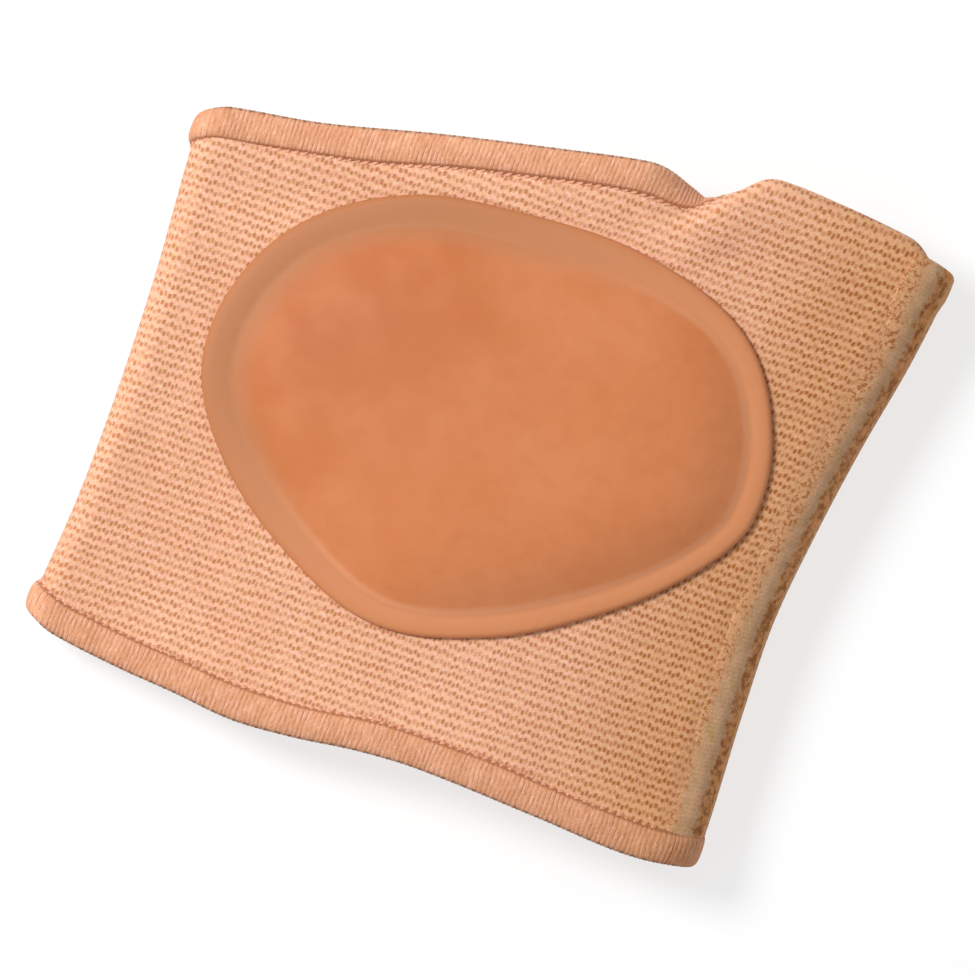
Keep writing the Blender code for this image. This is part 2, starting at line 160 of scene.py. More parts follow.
def curve_at(rows, column, share):
    """Value of a table's column at a share of its first column, on a smooth curve."""
    keys = [row[0] for row in rows]
    values = [getattr(row, column) for row in rows]
    if share <= keys[0]:
        return values[0]
    if share >= keys[-1]:
        return values[-1]
    right = next(index for index, key in enumerate(keys) if key > share)
    left = right - 1

    def slope(index):
        before = max(index - 1, 0)
        after = min(index + 1, len(keys) - 1)
        return (values[after] - values[before]) / (keys[after] - keys[before])

    span = keys[right] - keys[left]
    t = (share - keys[left]) / span
    return (
        values[left] * (1 + 2 * t) * (1 - t) ** 2
        + values[right] * t * t * (3 - 2 * t)
        + slope(left) * span * t * (1 - t) ** 2
        - slope(right) * span * t * t * (1 - t)
    )


def smooth_step(share):
    share = min(max(share, 0.0), 1.0)
    return share * share * (3 - 2 * share)


def mix(first, second, share):
    return first + (second - first) * share


def side_left(along):
    """Middle of the knit at the folded side."""
    half = (WAIST_WIDTH - KNIT_THICKNESS) / 2
    return -half - LEFT_FLARE * curve_at(SIDES, "left", along)


def side_right(along):
    """Middle of the knit at the seam side."""
    half = (WAIST_WIDTH - KNIT_THICKNESS) / 2
    return half + RIGHT_FLARE * curve_at(SIDES, "right", along)


def roll_height(along):
    return mix(ROLL_HEIGHT_LOWER, ROLL_HEIGHT_UPPER, along)


def front_share(station):
    """1 on the front panel, 0 on the back panel, in between round the two sides."""
    if station.part == "front":
        return 1.0
    if station.part == "back":
        return 0.0
    return (1 + sin(station.place)) / 2


def plan_x(station, along):
    left = side_left(along)
    right = side_right(along)
    if station.part == "fold":
        return left + FOLD_RADIUS * (1 + cos(station.place))
    if station.part in ("roll", "shoulder"):
        return right - ROLL_REACH * (1 - cos(station.place))
    return mix(left + FOLD_RADIUS, right - ROLL_REACH, station.place)


def share_across(station, along):
    left = side_left(along)
    return (plan_x(station, along) - left) / (side_right(along) - left)


def lower_edge(station):
    across = share_across(station, 0.0)
    front = -LOWER_SAG * curve_at(LOWER_EDGE, "sag", across)
    return mix(BACK_LOWER_INSET, front, front_share(station))


def upper_edge(station):
    """The highest line of the upper mouth, as seen from above."""
    across = share_across(station, 1.0)
    back = LEFT_LENGTH + TAB_RISE * across - BACK_UPPER_INSET
    if station.part == "roll":
        share = front_share(station) / (1 + sin(SEAM_ANGLE)) * 2
        return mix(back, LEFT_LENGTH + TAB_RISE, share)
    front = LEFT_LENGTH + UPPER_RISE * curve_at(UPPER_EDGE, "rise", across)
    if station.part == "shoulder":
        near_seam = (pi / 2 - station.place) / (pi / 2 - SEAM_ANGLE)
        return front - CORNER_DROP * max(near_seam, 0.0) ** 2
    return mix(back, front, front_share(station))


def turn_angle(station):
    """How far the upper hem is turned inward at a station."""
    if station.part in ("front", "shoulder"):
        return TURN_ANGLE * curve_at(UPPER_EDGE, "turn", share_across(station, 1.0))
    return 0.0


def turned_strip(angle, length):
    """Reach and drop of a point on the strip that bends and then runs straight."""
    bent = min(length, TURN_LENGTH)
    straight = length - bent
    if angle < 1e-4:
        return length, 0.0
    radius = TURN_LENGTH / angle
    turned = bent / radius
    reach = radius * sin(turned) + straight * cos(angle)
    drop = radius * (1 - cos(turned)) + straight * sin(angle)
    return reach, drop


def strip_reach(angle):
    """Farthest line that the strip and its hem reach beyond the strip's start."""
    face = HEM_THICKNESS / 2 * sin(angle)
    end_reach = turned_strip(angle, TURN_LENGTH + HEM_WIDTH)[0] + face
    if angle <= pi / 2:
        return end_reach
    hem_reach = turned_strip(angle, TURN_LENGTH + HEM_WIDTH / 4)[0] + face
    return max(end_reach, hem_reach, TURN_LENGTH / angle + KNIT_THICKNESS / 2)


def section_height(station, along):
    """Height of the knit's middle above that of the back panel."""
    tall = roll_height(along)
    if station.part == "back":
        return 0.0
    if station.part == "fold":
        return FOLD_RADIUS * (1 + sin(station.place))
    if station.part in ("roll", "shoulder"):
        return tall * (1 + sin(station.place))
    rise = 2 * mix(FOLD_RADIUS, tall, smooth_step(station.place))
    return rise + PANEL_CROWN * sin(pi * station.place) ** 2


def knit_point(station, from_lower=None, from_upper=None, middle=0.5):
    """A point of the knit's middle surface.

    It is given by its distance from the lower hem's edge, or by its distance from the
    upper hem's edge along the cloth, or by its share between the two.
    """
    low = lower_edge(station)
    high = upper_edge(station)
    angle = turn_angle(station)
    strip = TURN_LENGTH + HEM_WIDTH
    strip_start = high - strip_reach(angle)
    drop = 0.0
    if from_lower is not None:
        y = low + from_lower
    elif from_upper is not None:
        reach, drop = turned_strip(angle, strip - from_upper)
        y = strip_start + reach
    else:
        y = mix(low + HEM_WIDTH + CLEARANCE, strip_start, middle)
    along = (y - low) / (high - low)
    from_edge = min(y - low, high - y) - HEM_WIDTH
    lift = 1 - smooth_step(from_edge / SETTLE_LENGTH)
    base = mix(KNIT_THICKNESS / 2, HEM_THICKNESS / 2, lift)
    inward = inward_direction(station, along)
    x = plan_x(station, along) + drop * inward.x
    return Vector((x, y, base + section_height(station, along) + drop * inward.y))


def inward_direction(station, along):
    """Direction across the tube, in x and z, in which the turned hem hangs."""
    if station.part != "shoulder":
        return Vector((0.0, -1.0))
    across = cos(station.place) * roll_height(along)
    up = sin(station.place) * ROLL_REACH
    return -Vector((across, up)).normalized()


def side_stations(part, first, last, steps):
    return [Station(part, mix(first, last, step / steps)) for step in range(steps + 1)]


def seam_arc_angle(length):
    """Angle on the roll that a length along the cloth spans beside the seam."""
    return length / hypot(ROLL_REACH * sin(SEAM_ANGLE), ROLL_HEIGHT_LOWER * cos(SEAM_ANGLE))


def station_under(x, y):
    """Station of the front panel, or of the roll beyond it, below a point of the plan."""
    station = Station("front", 0.5)
    for _ in range(STATION_TURNS):
        low = lower_edge(station)
        along = (y - low) / (upper_edge(station) - low)
        left = side_left(along) + FOLD_RADIUS
        right = side_right(along) - ROLL_REACH
        place = (x - left) / (right - left)
        station = Station("front", min(max(place, 0.0), 1.0))
    beyond = (x - right) / ROLL_REACH
    if beyond > 0:
        station = Station("shoulder", acos(min(beyond, cos(SEAM_ANGLE))))
    return station, y - lower_edge(station)


def panel_height(x, y):
    """Height of the front panel's outer face below a point of the plan."""
    station, from_lower = station_under(x, y)
    return knit_point(station, from_lower=from_lower).z + KNIT_THICKNESS / 2


# Place of the model's own coordinates in the frame
PLAN_SHIFT = Vector((-0.0014411, -0.0379106, 0.0))

# Stitch detail, in metres
WALE = 0.00099                # width of one knit column
COURSE = 0.00109              # height of one knit row
RIB_PITCH = 0.00056           # from one hem thread to the next
RIB_HEIGHT = 0.00007
LOOP_PITCH = 0.00105          # from one loop of the hem's chain stitch to the next
LOOP_THREAD = 0.00016         # radius of its thread
LOOP_WIDTH = 0.00008          # half width of a loop between its threads' middles
WELT_PITCH = 0.00052          # from one seam thread to the next

# View and light
VIEW_TURN = radians(21)
VIEW_TARGET = Vector((0.00245, -0.00480, 0.0070))
VIEW_DISTANCE = 0.90
VIEW_SPAN = 0.1134            # width of the frame at the target's height


def waves(x, y, size, seed):
    """Smooth irregular value between about -1 and 1."""
    return noise(Vector((x / size, y / size, seed * 7.31)))


def shifted(point):
    return point + PLAN_SHIFT


def finish_piece(bm, name, material, node):
    bmesh.ops.recalc_face_normals(bm, faces=bm.faces)
    mesh = bpy.data.meshes.new(name)
    bm.to_mesh(mesh)
    bm.free()
    mesh.materials.append(material)
    mesh.shade_smooth()
    piece = bpy.data.objects.new(name, mesh)
    bpy.context.scene.collection.objects.link(piece)
    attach(piece, "root")
    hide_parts(node)
    return piece


def quads(bm, uv, first, second, first_uv, second_uv, closed=False):
    """Faces between two rows of vertices, with each vertex's place in the pattern."""
    count = len(first)
    for index in range(count if closed else count - 1):
        after = (index + 1) % count
        face = bm.faces.new((first[index], first[after], second[after], second[index]))
        places = (first_uv[index], first_uv[after], second_uv[after], second_uv[index])
        for corner, place in zip(face.loops, places):
            corner[uv].uv = place


def fine_stations(front, back, fold, shoulder, roll):
    """Stations from the seam's front side round the tube to its back side."""
    gap = seam_arc_angle(SEAM_WIDTH / 2 + CLEARANCE)
    stations = side_stations("shoulder", SEAM_ANGLE + gap, pi / 2, shoulder)[:-1]
    stations += side_stations("front", 1.0, 0.0, front)
    stations += side_stations("fold", pi / 2, 3 * pi / 2, fold)[1:-1]
    stations += side_stations("back", 0.0, 1.0, back)
    stations += side_stations("roll", -pi / 2, SEAM_ANGLE - gap, roll)[1:]
    return stations


def pad_centre():
    return side_left(0.5) + PAD_CENTRE_FROM_FOLD, LEFT_LENGTH - PAD_CENTRE_BELOW_CORNER


def pad_share(x, y):
    """0 at the cushion's centre, 1 on its rim."""
    centre_x, centre_y = pad_centre()
    across = (x - centre_x) / (PAD_LENGTH / 2)
    along = (y - centre_y) / (PAD_WIDTH / 2)
    turn = Vector((across, along)).angle_signed(Vector((1, 0)), 0.0) % (2 * pi)
    reach = curve_at(PAD_OUTLINE, "reach", turn * 180 / pi)
    return hypot(across, along) / reach


# Knit


def knit_relief(station, x, y):
    """Low puckers of the cloth, none under the cushion."""
    if station.part == "back":
        return 0.0
    free = smooth_step((pad_share(x, y) - 1.03) / 0.15)
    value = 0.00016 * waves(x, y, 0.011, 1) + 0.00008 * waves(x, y, 0.004, 2)
    return value * free


def knit_column(station, rows, turns):
    """Points of the knit's middle along one station, from inside one hem to inside the other."""
    held = HEM_WIDTH - HEM_GRIP
    points = [knit_point(station, from_lower=held), knit_point(station, from_lower=HEM_WIDTH)]
    points += [knit_point(station, middle=step / rows) for step in range(1, rows)]
    for step in range(turns + 1):
        bent = TURN_LENGTH * step / turns
        points.append(knit_point(station, from_upper=HEM_WIDTH + TURN_LENGTH - bent))
    points.append(knit_point(station, from_upper=held))
    return points


def make_knit(material):
    """The knit's wall, with columns and rows of stitches as its pattern's places."""
    stations = fine_stations(front=170, back=70, fold=14, shoulder=12, roll=18)
    columns = [knit_column(station, rows=84, turns=14) for station in stations]
    middles = [column[len(column) // 2] for column in columns]
    acrosses = [0.0]
    for before, after in zip(middles, middles[1:]):
        step = hypot(after.x - before.x, after.z - before.z)
        acrosses.append(acrosses[-1] + step)
    total = acrosses[-1]
    under = next(index for index, station in enumerate(stations) if station == Station("back", 0.5))
    bm = bmesh.new()
    uv = bm.loops.layers.uv.new("stitches")
    previous = None
    for number, (station, points, across) in enumerate(zip(stations, columns, acrosses)):
        along = points[0].y
        alongs = []
        for index, point in enumerate(points):
            if index:
                along += (point - points[index - 1]).length
            alongs.append(along / COURSE)
        first = across if number <= under else across - total
        places = [(first / WALE, value) for value in alongs]
        column = []
        for point in points:
            lift = knit_relief(station, point.x, point.y)
            column.append(bm.verts.new(shifted(point + Vector((0, 0, lift)))))
        if previous is not None:
            quads(bm, uv, previous[0], column, previous[1], places)
        if number == under:
            places = [((across - total) / WALE, value) for value in alongs]
        previous = (column, places)
    knit = finish_piece(bm, "knit_tube", material, "sleeve_knit")
    wall = knit.modifiers.new("wall", "SOLIDIFY")
    wall.thickness = KNIT_THICKNESS
    wall.offset = 0.0
    wall.use_even_offset = True
    return knit


# Hems


def hem_stations(upper):
    """Stations of a hem's band: the lower one closes over the seam, the upper one ends on it."""
    stations = fine_stations(front=300, back=130, fold=30, shoulder=24, roll=30)
    first = stations[0].place
    last = stations[-1].place
    end = first + 0.6 * (first - last) if upper else first
    return stations + [Station("roll", mix(last, end, step / 16)) for step in range(1, 17)]


def hem_fullness(station, upper, first):
    """Share of the band's thickness: less round the seam side, and least where it ends."""
    if station.part not in ("roll", "shoulder"):
        return 1.0
    slim = 1 - 0.35 * cos(min(max(station.place, -pi / 2), pi / 2)) ** 2
    if upper and station.part == "roll":
        slim *= mix(0.36, 1.0, smooth_step((first - 0.10 - station.place) / 0.9))
    return slim


def hem_width_at(distance, seed):
    """Uneven width of a hem's band."""
    return HEM_WIDTH * (1 + 0.10 * waves(distance, 0.0, 0.012, seed + 2))


def hem_frames(upper):
    """Distance along the hem, inner line, outward direction, normal and fullness."""
    stations = hem_stations(upper)

    def line(station, from_edge):
        if upper:
            return knit_point(station, from_upper=from_edge)
        return knit_point(station, from_lower=from_edge)

    inner = [line(station, HEM_WIDTH) for station in stations]
    outer = [line(station, 0.0) for station in stations]
    centres = [(a + b) / 2 for a, b in zip(inner, outer)]
    last = len(stations) - 1
    frames = []
    distance = 0.0
    for index in range(last + 1):
        outward = (outer[index] - inner[index]).normalized()
        ahead = centres[min(index + 1, last)] - centres[max(index - 1, 0)]
        normal = outward.cross(ahead).normalized()
        if not upper:
            normal.negate()
        if index:
            distance += (centres[index] - centres[index - 1]).length
        full = hem_fullness(stations[index], upper, stations[0].place)
        frames.append((distance, inner[index], outward, normal, full))
    return frames


def frame_at(frames, distance, hint):
    """The frame at a distance along the hem, and where it was found."""
    while hint < len(frames) - 2 and frames[hint + 1][0] < distance:
        hint += 1
    before = frames[hint]
    after = frames[hint + 1]
    share = (distance - before[0]) / (after[0] - before[0])
    inner = before[1].lerp(after[1], share)
    outward = before[2].lerp(after[2], share).normalized()
    normal = before[3].lerp(after[3], share).normalized()
    return inner, outward, normal, mix(before[4], after[4], share), hint


HemLine = namedtuple("HemLine", "across height")
HEM_PROFILE = (
    HemLine(across=-0.04, height=0.40),
    HemLine(across=0.00, height=0.52),
    HemLine(across=0.05, height=0.70),
    HemLine(across=0.12, height=0.88),
    HemLine(across=0.25, height=1.00),
    HemLine(across=0.45, height=1.02),
    HemLine(across=0.65, height=0.98),
    HemLine(across=0.80, height=0.88),
    HemLine(across=0.90, height=0.70),
    HemLine(across=0.96, height=0.46),
    HemLine(across=1.00, height=0.00),
)


def make_hem(name, upper, material, node):
    """A hem's band with its ribs, and the chain stitch along its inner line."""
    frames = hem_frames(upper)
    total = frames[-1][0]
    bm = bmesh.new()
    uv = bm.loops.layers.uv.new("stitches")
    steps = int(total / (RIB_PITCH / 6))
    seed = 3 if upper else 4
    hint = 0
    previous = None
    for step in range(steps + 1):
        distance = total * step / steps
        inner, outward, normal, full, hint = frame_at(frames, distance, hint)
        wander = 0.35 * waves(distance, 0.0, 0.0035, seed)
        rib = distance / RIB_PITCH + wander
        ring = []
        places = []
        wide = hem_width_at(distance, seed)
        extra = wide - HEM_WIDTH
        for side in (1, -1):
            lines = HEM_PROFILE if side > 0 else tuple(reversed(HEM_PROFILE[:-1]))
            for row in lines:
                phase = rib + 0.5 * waves(distance, row.across * 0.004, 0.003, seed + 12)
                ridge = abs(sin(pi * phase))
                puff = 1 + 0.06 * waves(distance, row.across * 0.004, 0.003, seed + 5)
                height = HEM_THICKNESS / 2 * row.height * puff * full
                height -= RIB_HEIGHT * (1 - ridge) * min(1, 2 * row.height)
                u = row.across * wide - extra
                edge = RIB_HEIGHT * (1 - ridge) if row.across > 0.95 else 0.0
                point = inner + outward * (u - edge) + normal * height * side
                ring.append(bm.verts.new(shifted(point)))
                places.append((phase, row.across))
        if previous is not None:
            quads(bm, uv, previous[0], ring, previous[1], places, closed=True)
        else:
            bm.faces.new(ring)
        previous = (ring, places)
    bm.faces.new(previous[0])
    add_chain(bm, uv, frames, total, seed)
    return finish_piece(bm, name, material, node)


def add_chain(bm, uv, frames, total, seed):
    """Row of small thread beads along the hem's inner line, on its outer face."""
    count = int(total / LOOP_PITCH)
    around = 8
    sides = 5
    hint = 0
    for number in range(count):
        distance = total * (number + 0.5) / count
        inner, outward, normal, full, hint = frame_at(frames, distance, hint)
        if full < 0.98:
            continue
        forward = outward.cross(normal)
        extra = hem_width_at(distance, seed) - HEM_WIDTH
        jitter = waves(distance, 0.0, 0.0009, seed + 9)
        slant = radians(24) + 0.5 * jitter
        ahead = forward * cos(slant) + outward * sin(slant)
        aside = outward * cos(slant) - forward * sin(slant)
        centre = inner - outward * (extra + 0.00006 + 0.00014 * jitter)
        centre = centre + normal * (HEM_THICKNESS / 2 * (0.44 + 0.06 * jitter))
        length = LOOP_PITCH * (0.26 + 0.12 * jitter)
        rings = []
        for i in range(around):
            turn = 2 * pi * i / around
            radial = ahead * cos(turn) * length + aside * sin(turn) * LOOP_WIDTH
            out = radial.normalized()
            ring = []
            for j in range(sides):
                roll = 2 * pi * j / sides
                point = centre + radial + (out * cos(roll) + normal * sin(roll)) * LOOP_THREAD
                point += normal * 0.00008 * cos(turn)
                ring.append(bm.verts.new(shifted(point)))
            rings.append(ring)
        spot = [(number + 0.5, 2.0)] * sides
        for i in range(around):
            quads(bm, uv, rings[i], rings[(i + 1) % around], spot, spot, closed=True)


# Seam

WeltLine = namedtuple("WeltLine", "side lift")
WELT_PROFILE = (
    WeltLine(side=-1.50, lift=-0.00005),
    WeltLine(side=-1.20, lift=0.00004),
    WeltLine(side=-0.80, lift=0.00006),
    WeltLine(side=-0.45, lift=0.00008),
    WeltLine(side=-0.10, lift=0.00016),
    WeltLine(side=0.15, lift=0.00021),
    WeltLine(side=0.40, lift=0.00019),
    WeltLine(side=0.70, lift=0.00012),
    WeltLine(side=0.95, lift=0.00006),
    WeltLine(side=1.25, lift=-0.00005),
)


def make_seam(material):
    """The flat welt over the seam; its pattern's places are the side and the thread's number."""
    places = []
    thin = KNIT_THICKNESS / 2
    start = HEM_WIDTH * 0.7
    lower_steps = 24
    for step in range(lower_steps):
        places.append({"from_lower": mix(start, HEM_BESIDE, step / lower_steps)})
    middle_steps = 520
    places += [{"middle": step / middle_steps} for step in range(12, middle_steps + 1)]
    upper_steps = 90
    for step in range(1, upper_steps + 1):
        places.append({"from_upper": mix(HEM_WIDTH + TURN_LENGTH, 0.0001, step / upper_steps)})
    bm = bmesh.new()
    uv = bm.loops.layers.uv.new("stitches")
    first = WELT_PROFILE[0].side
    last = WELT_PROFILE[-1].side
    sides = [mix(last, first, index / 28) for index in range(29)]
    distance = 0.0
    previous = None
    last_centre = None
    for index, place in enumerate(places):
        before = places[max(index - 1, 0)]
        after = places[min(index + 1, len(places) - 1)]
        centre = knit_point(Station("roll", SEAM_ANGLE), **place)
        if last_centre is not None:
            distance += (centre - last_centre).length
        last_centre = centre
        phase = distance / WELT_PITCH + 0.3 * waves(distance, 0.0, 0.003, 11)
        ring = []
        ring_uv = []
        edge = place.get("from_upper", 1.0)
        over = 0.00030 * smooth_step((HEM_BESIDE + 0.0010 - edge) / 0.003)
        round_end = 1 - sqrt(1 - min(max(1 - edge / 0.0008, 0.0), 1.0) ** 2)
        over -= 0.0008 * round_end
        section = [(side, curve_at(WELT_PROFILE, "lift", side) + thin + over) for side in sides]
        section += [(first * 0.8, -thin * 0.6), (last * 0.6, -thin * 0.6)]
        drift = 0.30 * smooth_step((0.016 - edge) / 0.014)
        for side, lift in section:
            side += 0.05 * waves(distance, side * 0.001, 0.0022, 15) + drift * (side + 1.5) / 2.75
            station = Station("roll", SEAM_ANGLE + seam_arc_angle(side * SEAM_WIDTH))
            ahead = knit_point(station, **after) - knit_point(station, **before)
            up = knit_point(Station("roll", station.place + ANGLE_STEP), **place)
            up -= knit_point(Station("roll", station.place - ANGLE_STEP), **place)
            normal = up.cross(ahead).normalized()
            if normal.x < 0:
                normal.negate()
            if lift > 0:
                wave = abs(sin(pi * (phase + 0.4 * side)))
                lift -= 0.00002 * (1 - wave)
            point = knit_point(station, **place) + normal * lift
            ring.append(bm.verts.new(shifted(point)))
            ring_uv.append((side - drift, phase))
        if previous is not None:
            quads(bm, uv, previous[0], ring, previous[1], ring_uv, closed=True)
        else:
            bm.faces.new(ring)
        previous = (ring, ring_uv)
    bm.faces.new(previous[0])
    return finish_piece(bm, "seam_welt", material, "side_seam")


# Gel cushion

GelRow = namedtuple("GelRow", "inward height")
GEL_SECTION = (
    GelRow(inward=0.0000, height=0.050),
    GelRow(inward=0.0002, height=0.120),
    GelRow(inward=0.0005, height=0.160),
    GelRow(inward=0.0010, height=0.185),
    GelRow(inward=0.0018, height=0.200),
    GelRow(inward=0.0024, height=0.200),
    GelRow(inward=0.0028, height=0.215),
    GelRow(inward=0.0032, height=0.270),
    GelRow(inward=0.0042, height=0.370),
    GelRow(inward=0.0055, height=0.500),
    GelRow(inward=0.0075, height=0.660),
    GelRow(inward=0.0105, height=0.810),
    GelRow(inward=0.0150, height=0.920),
    GelRow(inward=0.0200, height=0.970),
    GelRow(inward=0.0260, height=0.995),
    GelRow(inward=0.0400, height=1.000),
)


def soft_side(angle):
    """1 on the cushion's upper left, where its rim blends in softly, and 0 opposite."""
    return smooth_step(0.5 + 0.9 * cos(angle - radians(150)))


def make_gel(material):
    """The cushion; its pattern's places are the way in from its rim and the rim's softness."""
    centre_x, centre_y = pad_centre()
    segments = 220
    inwards = [0.0, 0.00008, 0.0002, 0.0004, 0.0006, 0.0009, 0.0012, 0.0015, 0.0018, 0.0021, 0.0024]
    inwards += [0.0024 + 0.0003 * step for step in range(1, 14)]
    bm = bmesh.new()
    uv = bm.loops.layers.uv.new("stitches")
    shares = [step / 26 for step in range(1, 27)]
    rings = []
    ring_places = []

    def ring_of(position, height_of):
        ring = []
        places = []
        for segment in range(segments):
            angle = 2 * pi * segment / segments
            reach = curve_at(PAD_OUTLINE, "reach", 360 * segment / segments)
            rim = Vector((reach * cos(angle) * PAD_LENGTH / 2, reach * sin(angle) * PAD_WIDTH / 2))
            radius = rim.length
            inward = position(radius)
            soft = soft_side(angle)
            place = rim * (1 - inward / radius)
            x = centre_x + place.x
            y = centre_y + place.y
            height = height_of(inward * mix(1.0, 0.72, soft), x, y)
            if height_of is top:
                height = mix(height, 1.0, smooth_step((inward / radius - 0.35) / 0.65))
            z = panel_height(x, y) + CLEARANCE + height * PAD_THICKNESS
            ring.append(bm.verts.new(shifted(Vector((x, y, z)))))
            places.append((inward * mix(1.0, 0.72, soft) / 0.01, soft))
        rings.append(ring)
        ring_places.append(places)

    def top(inward, x, y):
        soft = 0.008 * waves(x, y, 0.016, 21)
        return curve_at(GEL_SECTION, "height", inward) + soft * smooth_step(inward / 0.006)

    for share in (0.7, 0.35, 0.02):
        ring_of(lambda radius, s=share: radius * s, lambda inward, x, y: 0.0)
    for inward in inwards:
        ring_of(lambda radius, i=inward: i, top)
    start = inwards[-1]
    for share in shares[:-1]:
        ring_of(lambda radius, s=share: mix(start, radius, s), top)
    for index in range(len(rings) - 1):
        both = (rings[index], rings[index + 1], ring_places[index], ring_places[index + 1])
        quads(bm, uv, *both, closed=True)
    for ring, height in ((rings[0], 0.0), (rings[-1], 1.0)):
        z = panel_height(centre_x, centre_y) + CLEARANCE + height * PAD_THICKNESS
        middle = bm.verts.new(shifted(Vector((centre_x, centre_y, z))))
        for index, vertex in enumerate(ring):
            face = bm.faces.new((middle, vertex, ring[(index + 1) % segments]))
            for corner in face.loops:
                corner[uv].uv = (3.0, 0.0)
    return finish_piece(bm, "gel_cushion", material, "gel_pad")


# Materials


class Graph:
    """Short forms for the nodes of one material."""

    def __init__(self, name):
        self.material = bpy.data.materials.new(name)
        self.material.use_nodes = True
        self.tree = self.material.node_tree
        self.shader = self.tree.nodes["Principled BSDF"]

    def put(self, socket, value):
        if isinstance(value, bpy.types.NodeSocket):
            self.tree.links.new(value, socket)
        else:
            socket.default_value = value

    def maths(self, operation, *values):
        node = self.tree.nodes.new("ShaderNodeMath")
        node.operation = operation
        for socket, value in zip(node.inputs, values):
            self.put(socket, value)
        return node.outputs[0]

    def add(self, a, b):
        return self.maths("ADD", a, b)

    def times(self, a, b):
        return self.maths("MULTIPLY", a, b)

    def between(self, value, low, high, to_low=0.0, to_high=1.0):
        node = self.tree.nodes.new("ShaderNodeMapRange")
        node.interpolation_type = "SMOOTHSTEP"
        for socket, entry in zip(node.inputs, (value, low, high, to_low, to_high)):
            self.put(socket, entry)
        return node.outputs[0]

    def pattern(self):
        """The place in the piece's own pattern, as a vector and as two numbers."""
        node = self.tree.nodes.new("ShaderNodeUVMap")
        node.uv_map = "stitches"
        split = self.tree.nodes.new("ShaderNodeSeparateXYZ")
        self.tree.links.new(node.outputs[0], split.inputs[0])
        return node.outputs[0], split.outputs[0], split.outputs[1]

    def place(self):
        """The place in the piece's own space, as a vector and as its x and y."""
        node = self.tree.nodes.new("ShaderNodeTexCoord")
        split = self.tree.nodes.new("ShaderNodeSeparateXYZ")
        self.tree.links.new(node.outputs["Object"], split.inputs[0])
        return node.outputs["Object"], split.outputs[0], split.outputs[1]

    def noise(self, vector, scale, detail=2.0, roughness=0.5):
        node = self.tree.nodes.new("ShaderNodeTexNoise")
        self.put(node.inputs["Vector"], vector)
        node.inputs["Scale"].default_value = scale
        node.inputs["Detail"].default_value = detail
        node.inputs["Roughness"].default_value = roughness
        return node.outputs[0]

    def joined(self, u, v, w=0.0):
        node = self.tree.nodes.new("ShaderNodeCombineXYZ")
        self.put(node.inputs[0], u)
        self.put(node.inputs[1], v)
        self.put(node.inputs[2], w)
        return node.outputs[0]

    def cells(self, u, v, seed):
        """A random value for each cell of the pattern."""
        corner = self.joined(self.maths("FLOOR", u), self.maths("FLOOR", v), seed)
        node = self.tree.nodes.new("ShaderNodeTexWhiteNoise")
        self.tree.links.new(corner, node.inputs[0])
        return node.outputs[0]

    def blend(self, share, first, second, kind="MIX"):
        node = self.tree.nodes.new("ShaderNodeMix")
        node.data_type = "RGBA"
        node.blend_type = kind
        self.put(node.inputs[0], share)
        self.put(node.inputs[6], first)
        self.put(node.inputs[7], second)
        return node.outputs[2]

    def finish(self, colour, roughness, specular, sheen=0.0):
        self.put(self.shader.inputs["Base Color"], colour)
        self.put(self.shader.inputs["Roughness"], roughness)
        self.put(self.shader.inputs["Specular IOR Level"], specular)
        self.put(self.shader.inputs["Sheen Weight"], sheen)

    def bump(self, height, distance, strength=1.0):
        node = self.tree.nodes.new("ShaderNodeBump")
        self.put(node.inputs["Height"], height)
        node.inputs["Distance"].default_value = distance
        node.inputs["Strength"].default_value = strength
        self.tree.links.new(node.outputs[0], self.shader.inputs["Normal"])


def linear(red, green, blue):
    """Colour for a shader from the usual 0 to 255 values."""
    def channel(value):
        value = value / 255
        return value / 12.92 if value <= 0.04045 else ((value + 0.055) / 1.055) ** 2.4
    return (channel(red), channel(green), channel(blue), 1.0)


